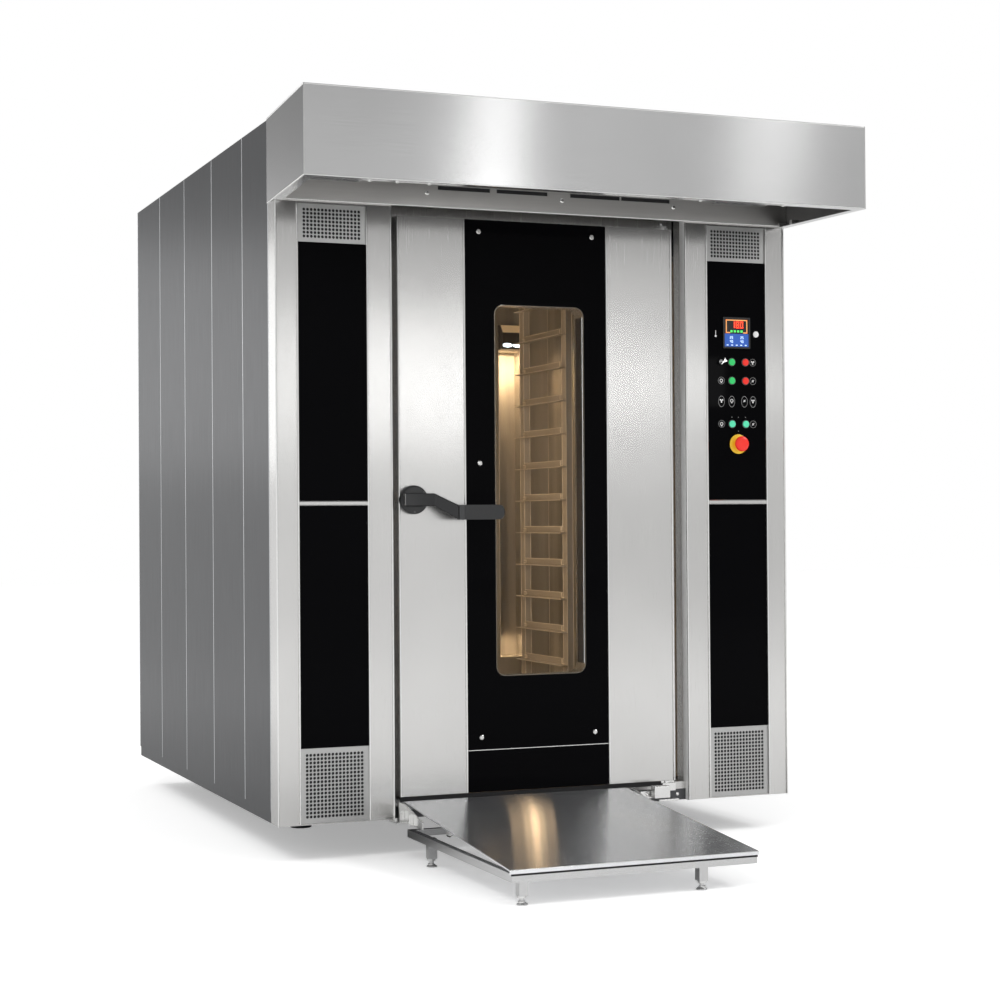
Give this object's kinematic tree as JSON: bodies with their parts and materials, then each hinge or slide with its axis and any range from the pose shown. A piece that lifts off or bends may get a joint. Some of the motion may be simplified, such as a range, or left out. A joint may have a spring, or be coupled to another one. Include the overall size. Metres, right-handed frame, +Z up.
{
  "type": "rotating rack oven",
  "caption": "Bakery oven with a turning rack: panelled steel body, windowed swing door, black glass columns, canopy hood and loading ramp.",
  "frame": {"origin": "on the floor, under the middle of the whole part with its ramp and hood", "axes": "+Z up, the front with door and controls faces -Y, +X to the right of someone facing the oven"},
  "size_m": [2.046, 3.24, 2.5243],
  "materials": {
    "brushed": "brushed",
    "side_steel": "brushed, darker",
    "chamber_steel": "smooth",
    "cast": "dull",
    "black_glass": "polished, black behind",
    "clear_glass": "polished",
    "lamp_glass": "frosted",
    "black_plastic": "satin",
    "seal": "dull",
    "green": "gloss",
    "teal": "gloss",
    "red": "gloss"
  },
  "bodies": {
    "oven": {"base_tray": "side_steel", "left_panel_1": "side_steel", "left_panel_2": "side_steel", "left_panel_3": "side_steel", "left_panel_4": "side_steel", "left_panel_5": "side_steel", "right_panel_1": "side_steel", "right_panel_2": "side_steel", "right_panel_3": "side_steel", "right_panel_4": "side_steel", "right_panel_5": "side_steel", "rear_panel": "side_steel", "roof_panel": "side_steel", "chamber_left_wall": "chamber_steel", "chamber_right_wall": "chamber_steel", "chamber_rear_wall": "chamber_steel", "chamber_ceiling": "chamber_steel", "chamber_floor": "chamber_steel", "chamber_lamp": "lamp_glass", "door_frame": "brushed", "left_column": "brushed", "right_column": "brushed", "left_top_grille": "brushed", "left_bottom_grille": "brushed", "right_top_grille": "brushed", "right_bottom_grille": "brushed", "left_bay_glass": "black_glass", "control_panel": "black_glass", "right_lower_glass": "black_glass", "display_module": "black_plastic", "hood_shell": "brushed", "hood_baffle": "brushed", "top_hinge_bracket": "cast", "bottom_hinge_bracket": "cast", "rack_drive_motor": "cast", "ramp_frame": "brushed", "heat_exchanger": "cast", "fan_motor": "cast"},
    "door": {"door_leaf": "brushed", "door_front_glass": "black_glass", "door_window_glass": "clear_glass", "door_inner_glass": "clear_glass", "door_gasket": "seal", "handle_rosette": "black_plastic"},
    "handle": {"handle_lever": "black_plastic"},
    "ramp": {"ramp_plate": "brushed"},
    "rack": {"turntable": "chamber_steel", "rack_left_side": "chamber_steel", "rack_right_side": "chamber_steel", "rack_top_frame": "chamber_steel", "rack_base_frame": "chamber_steel"},
    "fan": {"circulation_fan": "cast"},
    "key": {"key_switch": "black_plastic"},
    "green_button_upper_body": {"green_button_upper": "green"},
    "red_button_upper_body": {"red_button_upper": "red"},
    "green_button_lower_body": {"green_button_lower": "green"},
    "red_button_lower_body": {"red_button_lower": "red"},
    "teal_button_left_body": {"teal_button_left": "teal"},
    "teal_button_right_body": {"teal_button_right": "teal"},
    "estop": {"estop_button": "red"}
  },
  "joints": [
    {"name": "door_swing", "type": "hinge", "parent": "oven", "child": "door", "pos_m": [0.481, -0.608, 1.2], "axis": [0, 0, 1], "range_deg": [0, 115]},
    {"name": "handle_turn", "type": "hinge", "parent": "door", "child": "handle", "pos_m": [-0.495, -0.63, 1.223], "axis": [0, 1, 0], "range_deg": [0, 90]},
    {"name": "ramp_lift", "type": "hinge", "parent": "oven", "child": "ramp", "pos_m": [-0.1225, -0.671, 0.174], "axis": [-1, 0, 0], "range_deg": [0, 4]},
    {"name": "rack_turn", "type": "hinge", "parent": "oven", "child": "rack", "pos_m": [0, 0.0998, 0.2], "axis": [0, 0, 1], "continuous": true},
    {"name": "fan_spin", "type": "hinge", "parent": "oven", "child": "fan", "pos_m": [0, 0.92, 1.685], "axis": [0, 1, 0], "continuous": true},
    {"name": "key_turn", "type": "hinge", "parent": "oven", "child": "key", "pos_m": [0.7165, -0.63, 1.729], "axis": [0, 1, 0], "range_deg": [0, 90]},
    {"name": "green_button_upper_press", "type": "slide", "parent": "oven", "child": "green_button_upper_body", "axis": [0, 1, 0], "range_m": [0, 0.004], "stiffness_N_per_m": 300},
    {"name": "red_button_upper_press", "type": "slide", "parent": "oven", "child": "red_button_upper_body", "axis": [0, 1, 0], "range_m": [0, 0.004], "stiffness_N_per_m": 300},
    {"name": "green_button_lower_press", "type": "slide", "parent": "oven", "child": "green_button_lower_body", "axis": [0, 1, 0], "range_m": [0, 0.004], "stiffness_N_per_m": 300},
    {"name": "red_button_lower_press", "type": "slide", "parent": "oven", "child": "red_button_lower_body", "axis": [0, 1, 0], "range_m": [0, 0.004], "stiffness_N_per_m": 300},
    {"name": "teal_button_left_press", "type": "slide", "parent": "oven", "child": "teal_button_left_body", "axis": [0, 1, 0], "range_m": [0, 0.004], "stiffness_N_per_m": 300},
    {"name": "teal_button_right_press", "type": "slide", "parent": "oven", "child": "teal_button_right_body", "axis": [0, 1, 0], "range_m": [0, 0.004], "stiffness_N_per_m": 300},
    {"name": "estop_press", "type": "slide", "parent": "oven", "child": "estop", "axis": [0, 1, 0], "range_m": [0, 0.006]}
  ]
}
